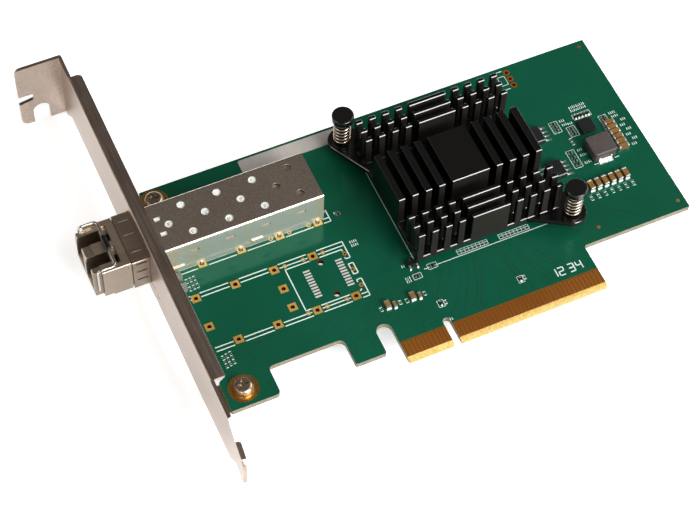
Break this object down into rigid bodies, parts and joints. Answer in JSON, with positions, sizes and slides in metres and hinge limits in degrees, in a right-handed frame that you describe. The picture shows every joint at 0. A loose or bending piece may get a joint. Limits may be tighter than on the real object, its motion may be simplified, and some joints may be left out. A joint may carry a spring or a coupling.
{
  "type": "network interface card",
  "caption": "Green network card with a full-height slot bracket, a port cage holding an optical transceiver, an empty second port place and a black pinned heatsink.",
  "frame": {"origin": "centre line of the key notch, at the lower edge of the contact tongue, on the component side", "axes": "+X along the card away from the bracket, +Y up the card away from its contacts, +Z out of the component side"},
  "size_m": [0.1419, 0.1201, 0.0216],
  "materials": {
    "board_green": "semi-gloss solder mask over glass-fibre board",
    "contact_gold": "gold plating",
    "tin_plate": "tinned, slightly dull",
    "bracket_nickel": "fine brushed nickel plate",
    "screw_nickel": "nickel plate",
    "cage_steel": "rolled, satin",
    "collar_steel": "rolled, satin",
    "module_cast": "cast, plated",
    "module_cover": "satin plate",
    "optic_metal": "turned",
    "bail_wire": "drawn wire",
    "sleeve_black": "matt",
    "connector_black": "matt, glass filled",
    "heatsink_black": "black anodised, satin",
    "pin_black": "smooth moulded",
    "spring_nickel": "bright plated wire",
    "pad_grey": "soft pad",
    "substrate_green": "semi-gloss",
    "lid_metal": "satin plate",
    "chip_black": "moulded, fine grain",
    "ferrite_grey": "pressed powder",
    "capacitor_tan": "fired ceramic",
    "resistor_black": "glazed",
    "light_clear": "clear moulding",
    "label_white": "coated paper"
  },
  "bodies": {
    "card": {"circuit_board": "board_green", "contacts_front": "contact_gold", "contacts_back": "contact_gold", "spare_port_pads": "contact_gold", "used_port_pads": "contact_gold", "spare_port_lands": "contact_gold", "screw_pads": "contact_gold", "header_pads": "contact_gold", "mounting_bracket": "bracket_nickel", "bracket_screws": "screw_nickel", "status_lights": "light_clear", "cage_shell": "cage_steel", "cage_floor": "cage_steel", "cage_collar": "collar_steel", "host_connector": "connector_black", "host_connector_leads": "contact_gold", "transceiver_housing": "module_cast", "transceiver_cover": "module_cover", "transmit_optic": "optic_metal", "receive_optic": "optic_metal", "transceiver_board": "board_green", "controller_substrate": "substrate_green", "controller_lid": "lid_metal", "thermal_pad": "pad_grey", "heatsink": "heatsink_black", "pin_spring_near": "spring_nickel", "pin_spring_far": "spring_nickel", "memory_chip_body": "chip_black", "memory_chip_leads": "tin_plate", "config_chip_body": "chip_black", "config_chip_leads": "tin_plate", "regulator_chip": "chip_black", "inductor_core": "ferrite_grey", "inductor_terminals": "tin_plate", "column_capacitor_bodies": "capacitor_tan", "column_capacitor_caps": "tin_plate", "row_capacitor_bodies": "capacitor_tan", "row_capacitor_caps": "tin_plate", "coupling_capacitor_bodies": "capacitor_tan", "coupling_capacitor_caps": "tin_plate", "resistor_bodies": "resistor_black", "resistor_caps": "tin_plate", "transistor_body": "chip_black", "transistor_leads": "tin_plate", "blank_label": "label_white"},
    "bail": {"bail": "bail_wire", "bail_sleeve": "sleeve_black"},
    "latch": {"latch_arm": "module_cast"},
    "pin_near": {"push_pin_near": "pin_black"},
    "pin_far": {"push_pin_far": "pin_black"}
  },
  "joints": [
    {"name": "bail_swing", "type": "hinge", "parent": "card", "child": "bail", "pos_m": [-0.0719, 0.0511, 0.0028], "axis": [0, -1, 0], "range_deg": [0, 90]},
    {"name": "latch_rock", "type": "hinge", "parent": "card", "child": "latch", "pos_m": [-0.0646, 0.0511, 0.00105], "axis": [0, -1, 0], "range_deg": [0, 5]},
    {"name": "near_pin_press", "type": "slide", "parent": "card", "child": "pin_near", "axis": [0, 0, -1], "range_m": [0, 0.001], "stiffness_N_per_m": 1500, "springref_m": -0.002, "deforming": ["pin_spring_near"]},
    {"name": "far_pin_press", "type": "slide", "parent": "card", "child": "pin_far", "axis": [0, 0, -1], "range_m": [0, 0.001], "stiffness_N_per_m": 1500, "springref_m": -0.002, "deforming": ["pin_spring_far"]}
  ],
  "couplings": [
    {"joint": "latch_rock", "follows": "bail_swing", "ratio": 0.05555}
  ]
}
